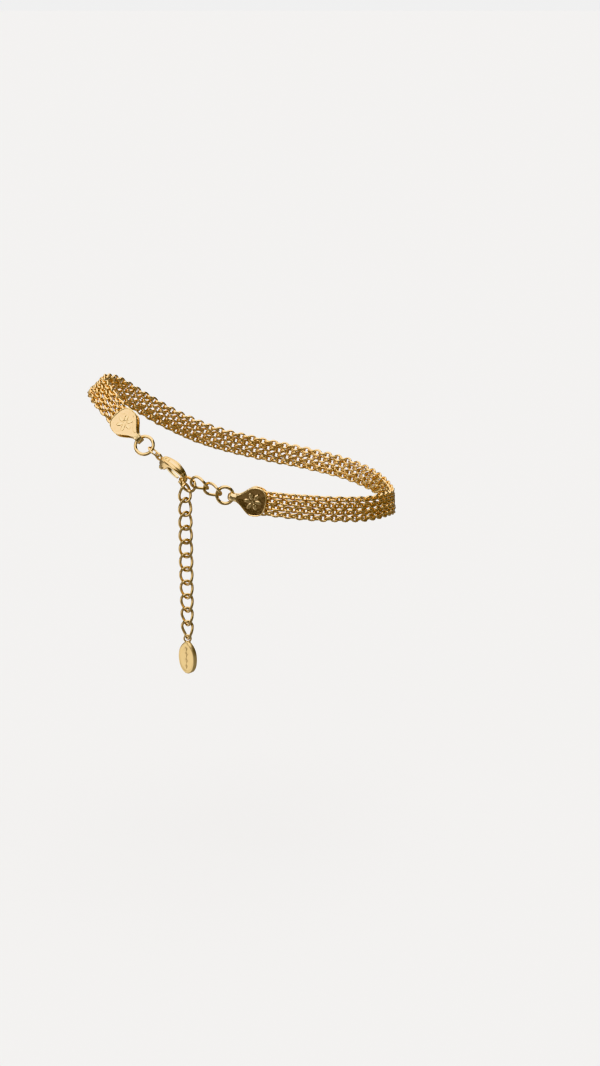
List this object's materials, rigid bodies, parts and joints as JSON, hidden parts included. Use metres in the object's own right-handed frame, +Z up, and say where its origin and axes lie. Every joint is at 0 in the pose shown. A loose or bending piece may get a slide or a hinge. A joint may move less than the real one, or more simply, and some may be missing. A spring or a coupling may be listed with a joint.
{
  "type": "chain anklet",
  "caption": "Multi-strand chain anklet, closed round an ankle by a lobster clasp hooked into a curb-link extender that ends in a small oval tag.",
  "frame": {"origin": "the middle of the ankle that the loop goes round, at the mean height of the loop", "axes": "+Z up along the leg, -Y to the side where the clasp is, +X along the loop's longer way, towards the toes"},
  "size_m": [0.0954, 0.0666, 0.0869],
  "materials": {
    "gold_chain": "bright gold-plated fine chain",
    "polished_gold": "polished gold plating",
    "stamped_gold": "stamped and polished gold plating"
  },
  "bodies": {
    "anklet": {"strand_1": "gold_chain", "strand_2": "gold_chain", "strand_3": "gold_chain", "strand_4": "gold_chain", "end_cap_left": "stamped_gold", "end_cap_right": "stamped_gold", "jump_ring_left": "polished_gold", "jump_ring_right": "polished_gold", "clasp_body": "polished_gold", "clasp_rivet": "polished_gold", "clasp_link": "polished_gold", "link_01": "polished_gold", "link_02": "polished_gold", "link_03": "polished_gold", "link_04": "polished_gold", "link_05": "polished_gold", "link_06": "polished_gold", "link_07": "polished_gold", "link_08": "polished_gold", "link_09": "polished_gold", "link_10": "polished_gold", "link_11": "polished_gold", "link_12": "polished_gold", "link_13": "polished_gold", "link_14": "polished_gold", "tag": "stamped_gold"},
    "clasp_lever": {"clasp_lever": "polished_gold"}
  },
  "joints": [
    {"name": "lever_hinge", "type": "hinge", "parent": "anklet", "child": "clasp_lever", "pos_m": [-0.02251, -0.02369, -0.00016], "axis": [-0.6282, -0.6863, -0.3666], "range_deg": [0, 22], "stiffness_Nm_per_rad": 0.02, "springref_deg": -11.46}
  ]
}
